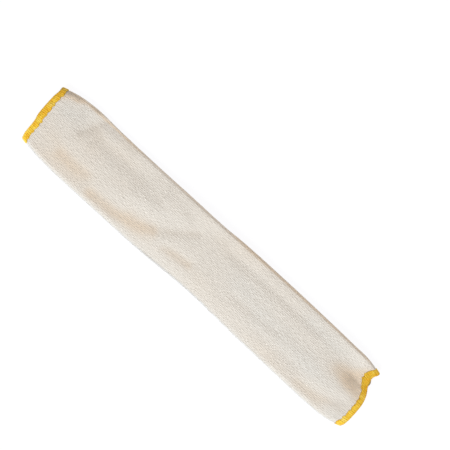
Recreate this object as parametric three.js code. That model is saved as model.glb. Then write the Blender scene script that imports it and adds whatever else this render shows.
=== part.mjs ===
// Cotton arm sleeve: a knitted tube, open at both ends, lying flat with an overlocked hem at each end.
// Millimetres. +X runs along the sleeve from its straight end to its wavy end, +Y across it, +Z up.
// The origin is the middle of the sleeve, on the surface that it lies on.
import * as THREE from 'three';

// Driving dimensions of the knit and of the stitched hems.
const SLEEVE_LENGTH = 450;
const WALL_THICKNESS = 1.8;
const SEWN_WALL_THICKNESS = 1.2;
const THREAD_THICKNESS = 0.7;
const SEAT_GAP = 0.3;
const HEM_WIDTH = 6.6;
const HEM_EDGE_ROUNDING = 0.8;

// How far from an open end its line, its hem's lift and its squeezed wall go over into the plain tube.
const END_LINE_REACH = 70;
const HEM_LIFT_REACH = 18;
const WALL_SWELL_REACH = 9;

// Sections through the middle of the wall: place along the sleeve, the two folded edges across it,
// the height between the layers at those edges, and the crown's rise above that.
const SECTIONS = [
  { along: -225, high: 32.4, low: -32.2, fold: 8.3, crown: 1.2 },
  { along: -213, high: 35.2, low: -34.7, fold: 8.3, crown: 1.1 },
  { along: -203, high: 37.4, low: -36.1, fold: 8.3, crown: 1.0 },
  { along: -180, high: 39.8, low: -37.3, fold: 8.5, crown: 1.0 },
  { along: -150, high: 38.4, low: -37.9, fold: 8.5, crown: 1.0 },
  { along: -100, high: 37.4, low: -38.2, fold: 8.3, crown: 1.2 },
  { along: -50, high: 37.2, low: -38.2, fold: 8.1, crown: 1.2 },
  { along: 0, high: 36.9, low: -36.0, fold: 8.3, crown: 1.0 },
  { along: 20, high: 37.9, low: -35.9, fold: 8.5, crown: 1.0 },
  { along: 80, high: 37.9, low: -38.1, fold: 8.3, crown: 1.0 },
  { along: 140, high: 36.7, low: -39.2, fold: 8.3, crown: 1.2 },
  { along: 180, high: 35.5, low: -39.8, fold: 8.5, crown: 1.6 },
  { along: 206, high: 35.1, low: -38.8, fold: 8.7, crown: 1.8 },
  { along: 216, high: 33.4, low: -37.0, fold: 8.7, crown: 1.8 },
  { along: 225, high: 31.2, low: -33.8, fold: 8.7, crown: 1.8 },
];

// Lines of the two open ends: how far the edge stands back from the sleeve's full length, across it.
const STRAIGHT_END_LINE = [
  { across: -34, inset: 4.6 },
  { across: -28, inset: 3.0 },
  { across: -11, inset: 2.1 },
  { across: -5, inset: 0.7 },
  { across: 10, inset: 0 },
  { across: 22, inset: 0.2 },
  { across: 28, inset: 0.9 },
  { across: 34, inset: 0.4 },
];
const WAVY_END_LINE = [
  { across: -34, inset: 2.0 },
  { across: -30, inset: 0.8 },
  { across: -14, inset: 0 },
  { across: 0, inset: 1.2 },
  { across: 8, inset: 4.0 },
  { across: 14, inset: 7.8 },
  { across: 22, inset: 10.3 },
  { across: 26, inset: 9.9 },
  { across: 30, inset: 8.3 },
  { across: 34, inset: 8.3 },
];

// Dents of the upper layer, each along a short line, with its depth and half-width.
const DENTS = [
  { name: 'hollow at the wavy mouth', x0: 202, y0: 14, x1: 180, y1: 16, depth: 1.7, width: 10 },
  { name: 'long slanting fold', x0: -150, y0: -22, x1: -24, y1: 0, depth: 0.9, width: 9 },
  { name: 'short fold beside it', x0: -45, y0: -29, x1: -13, y1: -18, depth: 0.6, width: 7 },
  { name: 'furrow along the high edge', x0: -150, y0: 19, x1: 150, y1: 17, depth: 0.5, width: 7 },
  { name: 'crease by the straight end', x0: -188, y0: 13, x1: -160, y1: 31, depth: 0.6, width: 6 },
];

// Facets: stations along the tube, by distance from an end and then evenly spread, and steps around it.
const STATIONS_NEAR_END = [HEM_WIDTH, WALL_SWELL_REACH, HEM_LIFT_REACH, 30, 44, 60];
const MIDDLE_STATIONS = 21;
const BOTTOM_STEPS = 8;
const FOLD_STEPS = 8;
const TOP_STEPS = 24;
const STEPS_AROUND = BOTTOM_STEPS + FOLD_STEPS + TOP_STEPS + FOLD_STEPS;

// Heights and lengths that follow from the driving dimensions.
const HALF_LENGTH = SLEEVE_LENGTH / 2;
const HEM_INNER_OFFSET = SEWN_WALL_THICKNESS / 2 + SEAT_GAP;
const HEM_OUTER_OFFSET = HEM_INNER_OFFSET + THREAD_THICKNESS;
const HEM_CAP = THREAD_THICKNESS + SEAT_GAP;
const WALL_END = HEM_CAP + SEAT_GAP;
const CROWN_ROUNDNESS = 1.5;

const { smoothstep, lerp } = THREE.MathUtils;

const knitMaterial = new THREE.MeshStandardMaterial({ color: '#ded7cc', roughness: 0.95, metalness: 0 });
const threadMaterial = new THREE.MeshStandardMaterial({ color: '#ebc24d', roughness: 0.6, metalness: 0 });

// A smooth curve through a table's rows: takes a place in the key column, gives the other columns there.
function curveThrough(rows, key) {
  const columns = Object.keys(rows[0]).filter((column) => column !== key);
  const places = rows.map((row) => row[key]);
  const values = rows.flatMap((row) => columns.map((column) => row[column]));
  const interpolant = new THREE.CubicInterpolant(places, values, columns.length);
  return (place) => {
    const sample = interpolant.evaluate(place);
    return Object.fromEntries(columns.map((column, index) => [column, sample[index]]));
  };
}

const sectionAt = curveThrough(SECTIONS, 'along');
const straightEnd = curveThrough(STRAIGHT_END_LINE, 'across');
const wavyEnd = curveThrough(WAVY_END_LINE, 'across');

// Distance from a station to the nearer open end.
function endDistance(along) {
  return HALF_LENGTH - Math.abs(along);
}

// How far an end's line pushes the wall inwards, at a distance from that end. The hem keeps its width
// square to the slanting line, so it is longer along the sleeve where the line slants.
function endShift(endLine, distance, across) {
  const slope = (endLine(across + 1).inset - endLine(across - 1).inset) / 2;
  const slantStretch = Math.hypot(1, slope) - 1;
  const fade = 1 - smoothstep(distance, HEM_WIDTH, END_LINE_REACH);
  return fade * (endLine(across).inset + slantStretch * Math.min(distance, HEM_WIDTH));
}

// Depth of the upper layer's dents below the plain crown.
function dentDepth(x, y) {
  const point = new THREE.Vector3(x, y, 0);
  const nearest = new THREE.Vector3();
  let depth = 0;
  for (const dent of DENTS) {
    const start = new THREE.Vector3(dent.x0, dent.y0, 0);
    const end = new THREE.Vector3(dent.x1, dent.y1, 0);
    new THREE.Line3(start, end).closestPointToPoint(point, true, nearest);
    depth += dent.depth * Math.exp(-((point.distanceTo(nearest) / dent.width) ** 2));
  }
  return depth;
}

// A point on the middle of the wall. Steps go round the section from the low end of the flat bottom,
// over the high fold, back along the crowned top and down the low fold.
function wallPoint(along, step) {
  const { high, low, fold, crown } = sectionAt(along);
  const radius = fold / 2;
  const lift = 1 - smoothstep(endDistance(along), HEM_WIDTH, HEM_LIFT_REACH);
  const bottom = lerp(WALL_THICKNESS / 2, HEM_OUTER_OFFSET, lift);
  const highCentre = high - radius;
  const lowCentre = low + radius;
  const place = (step + STEPS_AROUND) % STEPS_AROUND;
  const topStart = BOTTOM_STEPS + FOLD_STEPS;
  const topEnd = topStart + TOP_STEPS;
  let y;
  let z = bottom;
  if (place < BOTTOM_STEPS) {
    y = lerp(lowCentre, highCentre, place / BOTTOM_STEPS);
  } else if (place < topStart) {
    const angle = Math.PI * (place - BOTTOM_STEPS) / FOLD_STEPS;
    y = highCentre + radius * Math.sin(angle);
    z += radius * (1 - Math.cos(angle));
  } else if (place <= topEnd) {
    y = lerp(highCentre, lowCentre, (place - topStart) / TOP_STEPS);
    const side = 2 * (place - topStart) / TOP_STEPS - 1;
    z += fold + crown * (1 - side * side) ** CROWN_ROUNDNESS;
  } else {
    const angle = Math.PI * (place - topEnd) / FOLD_STEPS;
    y = lowCentre - radius * Math.sin(angle);
    z += radius * (1 + Math.cos(angle));
  }
  const startShift = endShift(straightEnd, HALF_LENGTH + along, y);
  const finishShift = endShift(wavyEnd, HALF_LENGTH - along, y);
  const x = along + startShift - finishShift;
  if (place > topStart && place < topEnd) {
    z -= dentDepth(x, y);
  }
  return new THREE.Vector3(x, y, z);
}

// One closed ring of points round the sleeve, at an offset outwards from the middle of the wall.
function wallRing(along, offset) {
  const ring = [];
  for (let step = 0; step < STEPS_AROUND; step += 1) {
    const point = wallPoint(along, step);
    const before = wallPoint(along, step - 1);
    const after = wallPoint(along, step + 1);
    const outward = new THREE.Vector3(0, after.z - before.z, before.y - after.y).normalize();
    ring.push(point.addScaledVector(outward, offset));
  }
  return ring;
}

// A closed solid whose skin passes through the rings in turn and from the last back to the first.
function solidThrough(rings) {
  const positions = rings.flatMap((ring) => ring.flatMap((point) => point.toArray()));
  const indices = [];
  for (let row = 0; row < rings.length; row += 1) {
    const nextRow = (row + 1) % rings.length;
    for (let step = 0; step < STEPS_AROUND; step += 1) {
      const nextStep = (step + 1) % STEPS_AROUND;
      const a = row * STEPS_AROUND + step;
      const b = row * STEPS_AROUND + nextStep;
      const c = nextRow * STEPS_AROUND + nextStep;
      const d = nextRow * STEPS_AROUND + step;
      indices.push(a, b, c, a, c, d);
    }
  }
  const geometry = new THREE.BufferGeometry();
  geometry.setAttribute('position', new THREE.Float32BufferAttribute(positions, 3));
  geometry.setIndex(indices);
  geometry.computeVertexNormals();
  return geometry;
}

// Stations of the knitted wall from one end to the other, with the raw edges inside the hems.
function tubeStations() {
  const near = [WALL_END, ...STATIONS_NEAR_END];
  const start = near.map((distance) => distance - HALF_LENGTH);
  const finish = near.map((distance) => HALF_LENGTH - distance).reverse();
  const middle = [];
  for (let index = 1; index <= MIDDLE_STATIONS; index += 1) {
    middle.push(lerp(start.at(-1), finish[0], index / (MIDDLE_STATIONS + 1)));
  }
  return [...start, ...middle, ...finish];
}

// Half the wall's thickness, squeezed under a hem and full in the tube.
function halfWall(along) {
  const swell = smoothstep(endDistance(along), HEM_WIDTH, WALL_SWELL_REACH);
  return lerp(SEWN_WALL_THICKNESS, WALL_THICKNESS, swell) / 2;
}

function knitTube() {
  const stations = tubeStations();
  const outside = stations.map((along) => wallRing(along, halfWall(along)));
  const inside = stations.map((along) => wallRing(along, -halfWall(along)));
  return solidThrough([...outside, ...inside.reverse()]);
}

// A hem wraps the raw edge: a layer of thread outside, a cap over the edge and a layer inside.
function hemBand(endSign) {
  const shoulder = HEM_WIDTH - HEM_EDGE_ROUNDING;
  const profile = [
    { distance: 0, offset: HEM_INNER_OFFSET },
    { distance: HEM_EDGE_ROUNDING, offset: HEM_OUTER_OFFSET },
    { distance: shoulder, offset: HEM_OUTER_OFFSET },
    { distance: HEM_WIDTH, offset: HEM_INNER_OFFSET },
    { distance: HEM_CAP, offset: HEM_INNER_OFFSET },
    { distance: HEM_CAP, offset: -HEM_INNER_OFFSET },
    { distance: HEM_WIDTH, offset: -HEM_INNER_OFFSET },
    { distance: shoulder, offset: -HEM_OUTER_OFFSET },
    { distance: HEM_EDGE_ROUNDING, offset: -HEM_OUTER_OFFSET },
    { distance: 0, offset: -HEM_INNER_OFFSET },
  ];
  const rings = profile.map(({ distance, offset }) => wallRing(endSign * (HALF_LENGTH - distance), offset));
  return solidThrough(endSign < 0 ? rings : rings.reverse());
}

// One named mesh of the assembly.
function piece(name, geometry, material) {
  const mesh = new THREE.Mesh(geometry, material);
  mesh.name = name;
  return mesh;
}

const sleeve = new THREE.Group();
sleeve.add(piece('knit_tube', knitTube(), knitMaterial));
sleeve.add(piece('hem_straight', hemBand(-1), threadMaterial));
sleeve.add(piece('hem_wavy', hemBand(1), threadMaterial));

export default sleeve;
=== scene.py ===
"""Looks of a cotton arm sleeve: a knitted tube lying flat, with an overlocked hem at each open end.

Metres. +X runs along the sleeve from its straight end to its wavy end, +Y across it and +Z up.
"""

import logging
import math
from collections.abc import Iterator, Sequence
from contextlib import contextmanager
from dataclasses import dataclass
from enum import Enum

import bpy
import numpy as np
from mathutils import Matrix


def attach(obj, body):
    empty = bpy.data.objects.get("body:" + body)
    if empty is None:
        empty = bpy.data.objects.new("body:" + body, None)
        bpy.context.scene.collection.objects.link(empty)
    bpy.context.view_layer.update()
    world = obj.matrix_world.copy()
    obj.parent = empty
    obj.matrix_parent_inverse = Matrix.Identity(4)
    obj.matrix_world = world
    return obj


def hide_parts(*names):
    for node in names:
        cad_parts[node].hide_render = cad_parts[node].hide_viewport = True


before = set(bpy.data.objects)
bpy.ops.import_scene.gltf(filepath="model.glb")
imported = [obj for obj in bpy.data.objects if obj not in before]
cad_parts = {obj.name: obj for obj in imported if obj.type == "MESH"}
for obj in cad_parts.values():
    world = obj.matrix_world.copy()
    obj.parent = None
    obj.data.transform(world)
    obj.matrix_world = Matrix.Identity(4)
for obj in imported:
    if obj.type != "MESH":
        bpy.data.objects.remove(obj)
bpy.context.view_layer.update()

LOG = logging.getLogger("arm_sleeve")
BODY = "root"
FULL_TURN = 2.0 * math.pi
UV_NAME = "UVMap"
MERGE_DISTANCE = 1e-7
LEAST_LENGTH = 1e-12
LAST_ROW_MARGIN = 0.001

Array = np.ndarray
Piece = bpy.types.Object
Socket = bpy.types.NodeSocket
Xyz = tuple[float, float, float]
Rgba = tuple[float, float, float, float]
Inputs = dict[str | int, object]


class Mouth(Enum):
    """The two open ends of the sleeve, each with its side along X."""

    STRAIGHT = -1
    WAVY = 1


class WallFace(Enum):
    """The two faces of the knitted wall, each with its side of the wall's middle."""

    OUTER = 1
    INNER = -1


class StitchColumn(Enum):
    """What a column of points in the knit is, with its place across its wale."""

    VALLEY = 0.0
    LEFT_LEG = 1.0 / 3.0
    RIGHT_LEG = 2.0 / 3.0
    PRESSED = 0.5


class SharedEffect(Enum):
    """Effects that the knit and the thread both use, each with its node group's name."""

    FUZZ = "fibre_fuzz"
    TWIST = "ply_twist"


@dataclass(frozen=True)
class Section:
    """The middle of the wall in a cut across: its two sides, its height at the folds, its crown's rise."""

    along: float
    high: float
    low: float
    fold: float
    crown: float


@dataclass(frozen=True)
class EdgeLine:
    """How far a mouth's edge stands back, at places across the sleeve."""

    across: tuple[float, ...]
    inset: tuple[float, ...]


@dataclass(frozen=True)
class Furrow:
    """A soft furrow in the upper layer along a bent line, or a swell where its depth is below 0.

    The cloth on its dim side is painted with shade by its warmth: tan, brown where that is high, or grey and
    cool where it is below 0.
    """

    path: tuple[tuple[float, float], ...]
    depth: float
    width: float
    warmth: float

    def distance(self, along: Array, across: Array) -> Array:
        """Measure how far places are from the furrow's line.

        Args:
            along: Places along the sleeve.
            across: Places across it.

        Returns:
            The distance at each place.
        """
        away = np.full(across.shape, np.inf)
        for start, end in zip(self.path[:-1], self.path[1:]):
            run_x = end[0] - start[0]
            run_y = end[1] - start[1]
            gone_x = along - start[0]
            gone_y = across - start[1]
            share = np.clip((gone_x * run_x + gone_y * run_y) / (run_x**2 + run_y**2), 0.0, 1.0)
            away = np.minimum(away, np.hypot(gone_x - share * run_x, gone_y - share * run_y))
        return away


@dataclass(frozen=True)
class UnderEdge:
    """A place where the under layer's edge shows past the upper one."""

    mouth: Mouth
    across: float
    reach: float
    spread: float


@dataclass(frozen=True)
class HemSwell:
    """A stretch where a hem is sewn wider, with how much wider it is at its middle."""

    across: float
    spread: float
    share: float


@dataclass(frozen=True)
class Wave:
    """One of the waves that make a line round the sleeve uneven."""

    height: float
    count: float
    shift: float


SECTIONS = (
    Section(-0.225, 0.0327, -0.0322, 0.0083, 0.0012),
    Section(-0.213, 0.0361, -0.0348, 0.0083, 0.0011),
    Section(-0.203, 0.0382, -0.0363, 0.0083, 0.0010),
    Section(-0.180, 0.0400, -0.0377, 0.0085, 0.0010),
    Section(-0.150, 0.0388, -0.0383, 0.0085, 0.0010),
    Section(-0.100, 0.0378, -0.0386, 0.0083, 0.0012),
    Section(-0.050, 0.0376, -0.0386, 0.0081, 0.0012),
    Section(0.000, 0.0373, -0.0364, 0.0083, 0.0010),
    Section(0.020, 0.0382, -0.0363, 0.0085, 0.0010),
    Section(0.080, 0.0382, -0.0385, 0.0083, 0.0010),
    Section(0.140, 0.0371, -0.0396, 0.0083, 0.0012),
    Section(0.180, 0.0359, -0.0401, 0.0085, 0.0016),
    Section(0.206, 0.0351, -0.0389, 0.0087, 0.0018),
    Section(0.216, 0.0334, -0.0366, 0.0087, 0.0018),
    Section(0.225, 0.0312, -0.0333, 0.0087, 0.0018),
)

EDGE_LINES = {
    Mouth.STRAIGHT: EdgeLine(
        across=(-0.034, -0.028, -0.011, -0.005, 0.010, 0.022, 0.028, 0.034),
        inset=(0.0046, 0.0030, 0.0021, 0.0007, 0.0, 0.0002, 0.0009, 0.0004),
    ),
    Mouth.WAVY: EdgeLine(
        across=(-0.034, -0.030, -0.014, 0.000, 0.008, 0.014, 0.022, 0.026, 0.030, 0.034),
        inset=(0.0020, 0.0008, 0.0, 0.0012, 0.0040, 0.0078, 0.0103, 0.0099, 0.0077, 0.0074),
    ),
}

# Each furrow dents the upper layer, or swells it where its depth is below 0, and its last value paints shade
# on the cloth on its dim side.
FURROWS = (
    # Hollow behind the notch of the wavy mouth, with painted tan shade in it.
    Furrow(((0.219, 0.0092), (0.200, 0.0125)), 0.0034, 0.0115, 0.80),
    Furrow(((0.200, 0.0150), (0.182, 0.0150)), 0.0027, 0.0120, 0.50),
    Furrow(((0.220, 0.0195), (0.212, 0.0265)), 0.0, 0.0075, 0.95),
    Furrow(((0.206, 0.0255), (0.186, 0.0245)), 0.0011, 0.0070, 0.30),
    # Long slanting fold, the swells beside it and the short folds past its end.
    Furrow(
        ((-0.130, -0.0255), (-0.100, -0.0240), (-0.075, -0.0190), (-0.055, -0.0122)), 0.0017, 0.0080, 0.72
    ),
    Furrow(((-0.085, -0.0120), (-0.060, -0.0080)), 0.0007, 0.0065, 0.15),
    Furrow(((-0.044, -0.002), (-0.032, 0.006), (-0.020, 0.015)), 0.0011, 0.0055, 0.22),
    Furrow(((-0.085, 0.020), (-0.060, 0.024), (-0.030, 0.032), (-0.010, 0.036)), -0.0019, 0.0110, -0.10),
    Furrow(((-0.036, -0.018), (-0.022, -0.016), (-0.006, -0.014)), 0.0013, 0.0055, 0.38),
    Furrow(((-0.095, -0.0010), (-0.070, 0.0050), (-0.040, 0.0155)), -0.0011, 0.0075, -0.10),
    Furrow(((-0.056, -0.0165), (-0.036, -0.0145)), -0.0007, 0.0065, -0.20),
    Furrow(((-0.064, 0.0185), (-0.040, 0.0190)), -0.0007, 0.0060, 0.0),
    # Dents in the half next to the straight mouth.
    Furrow(((-0.180, -0.016), (-0.166, -0.016), (-0.146, -0.015)), 0.0009, 0.0075, 0.38),
    Furrow(((-0.179, 0.015), (-0.170, 0.037)), 0.0024, 0.0065, 0.22),
    Furrow(((-0.186, 0.0265), (-0.164, 0.0265)), 0.0014, 0.0085, 0.15),
    Furrow(((-0.160, 0.019), (-0.120, 0.020), (-0.078, 0.020)), 0.0020, 0.0100, 0.05),
    Furrow(((-0.205, 0.024), (-0.185, 0.026)), 0.0002, 0.0120, -0.6),
    # Shallow lengthwise dents and swells in the half next to the wavy mouth.
    Furrow(((0.020, 0.0225), (0.080, 0.0230), (0.140, 0.0225)), 0.0010, 0.0055, 0.0),
    Furrow(((0.050, -0.009), (0.080, -0.008), (0.110, -0.006)), 0.0009, 0.0055, 0.10),
    Furrow(((0.160, -0.029), (0.185, -0.026), (0.207, -0.016)), 0.0012, 0.0070, 0.36),
    Furrow(((0.065, 0.0030), (0.150, 0.0020)), 0.0005, 0.0070, -0.10),
    Furrow(((0.092, -0.0205), (0.155, -0.0205)), 0.0007, 0.0060, 0.05),
    Furrow(((0.168, -0.007), (0.205, -0.009)), -0.0003, 0.0095, -0.50),
    Furrow(((0.204, -0.0280), (0.222, -0.0260)), -0.0010, 0.0085, -0.60),
    # Swells and dents along the far fold, with a thin painted brown line of shade on it.
    Furrow(((-0.060, 0.0380), (0.050, 0.0380)), -0.0019, 0.0100, 0.0),
    Furrow(((0.074, 0.0378), (0.140, 0.0370)), -0.0005, 0.0100, 0.0),
    Furrow(((0.158, 0.0365), (0.190, 0.0355)), -0.0022, 0.0095, -0.10),
    Furrow(((-0.165, 0.0375), (-0.125, 0.0385)), 0.0016, 0.0070, 0.10),
    Furrow(((0.040, 0.0415), (0.120, 0.0405)), 0.0010, 0.0060, 0.0),
    Furrow(((-0.192, 0.0385), (-0.150, 0.0370)), 0.0012, 0.0070, -0.35),
    Furrow(
        ((-0.190, 0.0415), (-0.150, 0.0405), (0.080, 0.0398), (0.140, 0.0388), (0.205, 0.0372)),
        0.0, 0.0022, 2.10,
    ),
    # Dents along the near fold.
    Furrow(((-0.080, -0.042), (0.020, -0.040), (0.110, -0.041)), 0.0024, 0.0120, 0.0),
    Furrow(((-0.050, -0.0405), (0.030, -0.0385)), 0.0014, 0.0080, 0.0),
    # Painted shade on the far corner and painted light on the hem of the near corner of the straight mouth.
    Furrow(((-0.224, 0.0410), (-0.207, 0.0430)), 0.0014, 0.0095, 1.15),
    Furrow(((-0.224, 0.0372), (-0.212, 0.0382), (-0.196, 0.0412), (-0.180, 0.0430)), 0.0010, 0.0046, 1.10),
    Furrow(((-0.225, 0.0350), (-0.221, 0.0335)), 0.0, 0.0070, 1.20),
    Furrow(((-0.2285, 0.0340), (-0.2285, 0.0240)), 0.0, 0.0080, 1.10),
    Furrow(((-0.2285, -0.0190), (-0.2285, -0.0340)), 0.0, 0.0085, -2.60),
    # Broad patches tinted tan or grey, with no dent.
    Furrow(((-0.205, -0.026), (-0.150, -0.028)), 0.0, 0.0100, 0.22),
    Furrow(((-0.190, -0.0355), (0.000, -0.0350), (0.190, -0.0375)), 0.0, 0.0030, -0.20),
    Furrow(((-0.190, -0.001), (-0.090, -0.001)), 0.0, 0.0140, 0.14),
    Furrow(((0.050, 0.010), (0.150, 0.008)), 0.0, 0.0200, -0.42),
    Furrow(((0.130, 0.030), (0.190, 0.028)), 0.0, 0.0090, -0.4),
    Furrow(((0.085, -0.0080), (0.155, -0.0080)), 0.0, 0.0100, -0.35),
    Furrow(((0.110, -0.028), (0.150, -0.028)), 0.0, 0.0090, 0.10),
)

HEM_SWELLS = {
    Mouth.STRAIGHT: HemSwell(0.0020, 0.0150, 0.20),
    Mouth.WAVY: HemSwell(0.0205, 0.0078, 0.34),
}

# Where the under layer shows past the upper one, its cloth and thread are painted with dark shadow.
UNDER_EDGES = (
    UnderEdge(Mouth.WAVY, 0.0180, 0.0021, 0.0034),
    UnderEdge(Mouth.STRAIGHT, 0.0086, 0.0011, 0.0028),
    UnderEdge(Mouth.STRAIGHT, -0.0060, 0.0009, 0.0025),
    UnderEdge(Mouth.STRAIGHT, -0.0285, 0.0010, 0.0022),
)

GATHERS = (Wave(0.45, 13.0, 0.37), Wave(0.35, 19.0, 0.851), Wave(0.30, 29.0, 1.517))
BORDER_WAVES = (Wave(0.00042, 21.0, 0.31), Wave(0.000294, 34.0, 0.62))
LUMPS = (Wave(0.080, 29.0, -0.31), Wave(0.056, 13.0, 0.31))

# Looper thread: share of its slant, distance from the edge, height against its top.
LOOPER = (
    (1.00, 0.006500, -0.00035),
    (0.93, 0.006000, -0.00005),
    (0.70, 0.004488, 0.00004),
    (0.14, 0.001188, 0.0),
    (0.03, 0.000580, -0.00040),
)
# Needle stitch: place in stitches, height against the hem's outer side.
NEEDLE = ((0.06, -0.00055), (0.30, -0.00012), (1.0, 0.0), (1.70, -0.00012), (1.94, -0.00055))
# Link over the edge: place in stitches, distance from the edge, share of the hem's half thickness.
LINK = (
    (-0.25, 0.00075, 0.80),
    (0.05, 0.00022, 0.55),
    (0.50, 0.00005, 0.0),
    (0.95, 0.00022, -0.55),
    (1.25, 0.00075, -0.80),
)


def smoothstep(value: Array, start: float, end: float) -> Array:
    """Rise smoothly from 0 at the start to 1 at the end."""
    share = np.clip((value - start) / (end - start), 0.0, 1.0)
    return share * share * (3.0 - 2.0 * share)


def mix(first: Array, second: Array, share: Array) -> Array:
    """Blend two values by a share from 0 to 1."""
    return first + (second - first) * share


def bell(distance: Array, width: float) -> Array:
    """Fall smoothly from 1 with distance."""
    return np.exp(-((distance / width) ** 2))


def unit(vectors: Array) -> Array:
    """Scale vectors to a length of 1."""
    return vectors / np.maximum(np.linalg.norm(vectors, axis=-1, keepdims=True), LEAST_LENGTH)


def uneven(waves: tuple[Wave, ...], turns: Array, side: Array) -> Array:
    """Add up waves round the sleeve, shifted to one way or the other by the end that they are at."""
    return sum(wave.height * np.sin(FULL_TURN * (wave.count * turns + wave.shift * side)) for wave in waves)


def curve_through(places: Sequence[float], heights: Sequence[float], at: Array) -> Array:
    """Follow a smooth curve through a short table, level beyond its ends.

    Args:
        places: The table's places, rising.
        heights: The curve's height at each place.
        at: Where to find the curve's height.

    Returns:
        The heights, in the shape of at.
    """
    x = np.array(places)
    y = np.array(heights)
    secants = np.diff(y) / np.diff(x)
    slopes = np.concatenate([secants[:1], (secants[1:] + secants[:-1]) / 2.0, secants[-1:]])
    inside = np.clip(at, x[0], x[-1])
    right = np.clip(np.searchsorted(x, inside), 1, len(x) - 1)
    left = right - 1
    step = x[right] - x[left]
    part = (inside - x[left]) / step
    fall = 1.0 - part
    ends = y[left] * fall * fall * (1.0 + 2.0 * part) + y[right] * part * part * (3.0 - 2.0 * part)
    return ends + step * part * fall * (slopes[left] * fall - slopes[right] * part)


@dataclass(frozen=True)
class Skin:
    """A grid of points on the middle of the wall, rows along the sleeve and columns round it."""

    points: Array
    normals: Array
    around: Array
    warmth: Array

    def at(self, row: Array, column: Array) -> tuple[Array, Array, Array]:
        """Find points between the grid's own.

        Args:
            row: Places along the rows, in rows.
            column: Places round the sleeve, in columns.

        Returns:
            The points there, the normals there and the painted shading and tone there.
        """
        rows, columns = self.points.shape[:2]
        row = np.clip(row, 0.0, rows - 1.0 - LAST_ROW_MARGIN)
        low_row = row.astype(int)
        row_share = (row - low_row)[:, None]
        low_column = np.floor(column).astype(int)
        column_share = (column - low_column)[:, None]
        left = low_column % columns
        right = (left + 1) % columns
        found = []
        for grid in (self.points, self.normals, self.warmth[..., None]):
            near = mix(grid[low_row, left], grid[low_row, right], column_share)
            far = mix(grid[low_row + 1, left], grid[low_row + 1, right], column_share)
            found.append(mix(near, far, row_share))
        return found[0], unit(found[1]), found[2][:, 0]


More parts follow.
